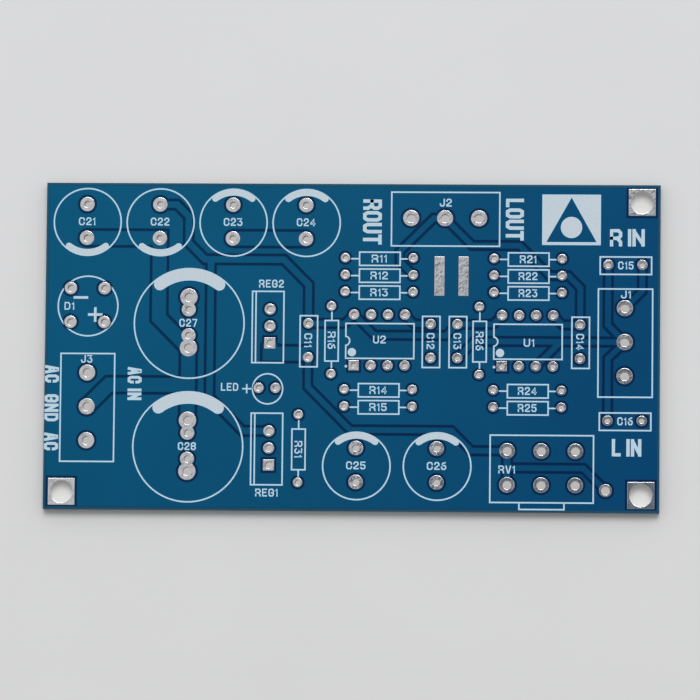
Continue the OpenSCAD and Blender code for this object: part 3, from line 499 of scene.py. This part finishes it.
# Offsets of the marks of a kind from the middle of their parts' pads
IN_FILTER = (0, -0.04)
IN_COUPLING = (0, -0.06)
IN_RESERVOIR = (-0.05, -0.05)
IN_FILM = (0, 0)
IN_RESISTOR = (0, -0.1)
IN_CROSSWISE_RESISTOR = (0.07, -0.06)
for part, words, offset, length, turn in [
    ("filter_1", "C21", IN_FILTER, 2.5, UPRIGHT),
    ("filter_2", "C22", IN_FILTER, 2.8, UPRIGHT),
    ("filter_3", "C23", IN_FILTER, 2.8, UPRIGHT),
    ("filter_4", "C24", IN_FILTER, 2.8, UPRIGHT),
    ("coupling_1", "C25", IN_COUPLING, 2.9, UPRIGHT),
    ("coupling_2", "C26", IN_COUPLING, 2.9, UPRIGHT),
    ("reservoir_1", "C27", IN_RESERVOIR, 2.7, UPRIGHT),
    ("reservoir_2", "C28", IN_RESERVOIR, 2.7, UPRIGHT),
    ("bridge", "D1", (-2.72, -0.13), 1.5, UPRIGHT),
    ("power_terminal", "J3", (-0.1, 7.15), 1.7, UPRIGHT),
    ("output_terminal", "J2", (0.08, 2.35), 1.8, UPRIGHT),
    ("input_terminal", "J1", (0.15, 7.13), 1.5, UPRIGHT),
    ("negative_regulator", "REG2", (0.15, 6.38), 3.7, UPRIGHT),
    ("positive_regulator", "REG1", (-0.25, -6.65), 3.4, UPRIGHT),
    ("lamp", "LED", (-5.61, 0.12), 2.6, UPRIGHT),
    ("output_amplifier", "U2", (0.01, 0.08), 1.9, UPRIGHT),
    ("input_amplifier", "U1", (0.24, -0.27), 1.6, UPRIGHT),
    ("potentiometer", "RV1", (-5.12, -0.23), 2.5, UPRIGHT),
    ("ceramic_1", "C15", (0.07, -0.1), 2.3, UPRIGHT),
    ("ceramic_2", "C16", (0.07, -0.07), 2.3, UPRIGHT),
    ("film_1", "C11", IN_FILM, 2.1, DOWNWARD),
    ("film_2", "C12", IN_FILM, 2.4, DOWNWARD),
    ("film_3", "C13", IN_FILM, 2.4, DOWNWARD),
    ("film_4", "C14", IN_FILM, 2.4, DOWNWARD),
    ("resistor_1", "R11", IN_RESISTOR, 2.3, UPRIGHT),
    ("resistor_2", "R12", IN_RESISTOR, 2.6, UPRIGHT),
    ("resistor_3", "R13", IN_RESISTOR, 2.6, UPRIGHT),
    ("resistor_4", "R14", IN_RESISTOR, 2.6, UPRIGHT),
    ("resistor_5", "R15", IN_RESISTOR, 2.6, UPRIGHT),
    ("resistor_6", "R21", IN_RESISTOR, 2.5, UPRIGHT),
    ("resistor_7", "R22", IN_RESISTOR, 2.8, UPRIGHT),
    ("resistor_8", "R23", IN_RESISTOR, 2.8, UPRIGHT),
    ("resistor_9", "R24", IN_RESISTOR, 2.8, UPRIGHT),
    ("resistor_10", "R25", IN_RESISTOR, 2.8, UPRIGHT),
    ("resistor_11", "R16", IN_CROSSWISE_RESISTOR, 2.6, DOWNWARD),
    ("resistor_12", "R26", IN_CROSSWISE_RESISTOR, 2.8, DOWNWARD),
    ("resistor_13", "R31", (0.07, -0.12), 2.5, DOWNWARD),
]:
    centre = beside(part, offset)
    lettering(f"mark_{part}", words, centre, MARK_HEIGHT, length, turn, MARK_STROKE, MARK_GAP)

SUPPLY_HEIGHT = 2.1
SUPPLY_STROKE = 0.42
SIGNAL_STROKE = 0.52
INPUT_HEIGHT = 2.6
INPUT_STROKE = 0.5
WORD_GAP = 0.17
# Each word stands beside a part, at an offset from the middle of its pads
for name, words, part, offset, height, length, turn, stroke in [
    ("ac_upper", "AC", "power_terminal", (-5.28, 4.85), SUPPLY_HEIGHT, 2.6, DOWNWARD, SUPPLY_STROKE),
    ("gnd", "GND", "power_terminal", (-5.28, -0.23), SUPPLY_HEIGHT, 4.05, DOWNWARD, SUPPLY_STROKE),
    ("ac_lower", "AC", "power_terminal", (-5.28, -5.28), SUPPLY_HEIGHT, 2.65, DOWNWARD, SUPPLY_STROKE),
    ("ac_in", "AC IN", "power_terminal", (7.15, 3.47), SUPPLY_HEIGHT, 4.95, DOWNWARD, SUPPLY_STROKE),
    ("right_out", "ROUT", "output_terminal", (-10.87, -0.6), 2.81, 6.8, DOWNWARD, SIGNAL_STROKE),
    ("left_out", "LOUT", "output_terminal", (10.43, -0.15), 2.7, 6.3, DOWNWARD, SIGNAL_STROKE),
    ("right_in", "R IN", "ceramic_1", (0.27, 4.05), INPUT_HEIGHT, 5.2, UPRIGHT, INPUT_STROKE),
    ("left_in", "L IN", "ceramic_2", (0.32, -4.02), INPUT_HEIGHT, 4.4, UPRIGHT, INPUT_STROKE),
]:
    centre = beside(part, offset)
    lettering(f"word_{name}", words, centre, height, length, turn, stroke, WORD_GAP)


# ------------------------------------------------------- floor, light, camera

# Half the floor's side, and how far it lies below the board
FLOOR_HALF = 3.0
FLOOR_DROP = 0.01 * MM

# The surround's strength, and how much it grows toward +Y, where the window is
SURROUND = 0.6
SURROUND_LEAN = 0.42
SURROUND_COLOUR = (0.97, 0.98, 1.0, 1.0)
# The dark spot overhead, its reach on a sphere of radius 1, and the blur of its rim
SPOT_DIRECTION = (0.05, 0.0, 1.0)
SPOT_REACH = 0.11
SPOT_BLUR = 0.012
SPOT_COLOUR = (0.18, 0.23, 0.28, 1.0)
# The lamp's strength and colour, and its spread and turn in degrees
LAMP = 1.31
LAMP_COLOUR = (1.0, 0.99, 0.97)
LAMP_SPREAD = 30
LAMP_TURN = (-30, 3, 0)

# Camera, as found from the board's corners and holes, with its turn in degrees
CAMERA_PLACE = (36.23 * MM, -58.94 * MM, 745.29 * MM)
CAMERA_TURN = (4.519, 2.763, 0.556)
CAMERA_LENS = 257.1
CAMERA_SENSOR = 36.0
CAMERA_FAR = 10.0


def radians_of(degrees):
    return [math.radians(a) for a in degrees]


def make_floor():
    mesh = bpy.data.meshes.new("floor")
    corners = [(x * FLOOR_HALF, y * FLOOR_HALF, 0) for x, y in ((-1, -1), (1, -1), (1, 1), (-1, 1))]
    mesh.from_pydata(corners, [], [(0, 1, 2, 3)])
    floor = bpy.data.objects.new("floor", mesh)
    floor.location.z = -FLOOR_DROP
    mesh.materials.append(floor_material())
    bpy.context.scene.collection.objects.link(floor)


def make_surround():
    """A pale surround, brighter beyond the board's upper side.

    Overhead it has one dark spot, where a camera would hang, for the tin to mirror.
    """
    world = bpy.data.worlds.new("surround")
    bpy.context.scene.world = world
    world.use_nodes = True
    n = Tree(world.node_tree)
    direction = n.add("ShaderNodeTexCoord").outputs["Generated"]
    lean = n.add("ShaderNodeVectorMath", operation="DOT_PRODUCT")
    n.feed(lean.inputs[0], direction)
    n.feed(lean.inputs[1], (0.0, SURROUND_LEAN, 0.0))
    away = n.add("ShaderNodeVectorMath", operation="DISTANCE")
    n.feed(away.inputs[0], direction)
    n.feed(away.inputs[1], Vector(SPOT_DIRECTION).normalized())
    clear = n.add("ShaderNodeMapRange")
    n.feed(clear.inputs["Value"], away.outputs["Value"])
    n.feed(clear.inputs["From Min"], SPOT_REACH - SPOT_BLUR)
    n.feed(clear.inputs["From Max"], SPOT_REACH + SPOT_BLUR)
    background = world.node_tree.nodes["Background"]
    n.feed(background.inputs["Color"], n.mix(clear.outputs["Result"], SPOT_COLOUR, SURROUND_COLOUR))
    n.feed(background.inputs["Strength"], n.math("ADD", lean.outputs["Value"], SURROUND))


def make_lamp():
    """A soft lamp, as broad as a window."""
    lamp = bpy.data.lights.new("window", "SUN")
    lamp.energy = LAMP
    lamp.angle = math.radians(LAMP_SPREAD)
    lamp.color = LAMP_COLOUR
    window = bpy.data.objects.new("window", lamp)
    window.rotation_euler = radians_of(LAMP_TURN)
    bpy.context.scene.collection.objects.link(window)


def make_camera():
    data = bpy.data.cameras.new("camera")
    data.lens = CAMERA_LENS
    data.sensor_width = CAMERA_SENSOR
    data.clip_end = CAMERA_FAR
    camera = bpy.data.objects.new("camera", data)
    camera.location = CAMERA_PLACE
    camera.rotation_euler = radians_of(CAMERA_TURN)
    bpy.context.scene.collection.objects.link(camera)
    bpy.context.scene.camera = camera


make_floor()
make_surround()
make_lamp()
make_camera()
bpy.context.scene.view_settings.view_transform = "Standard"
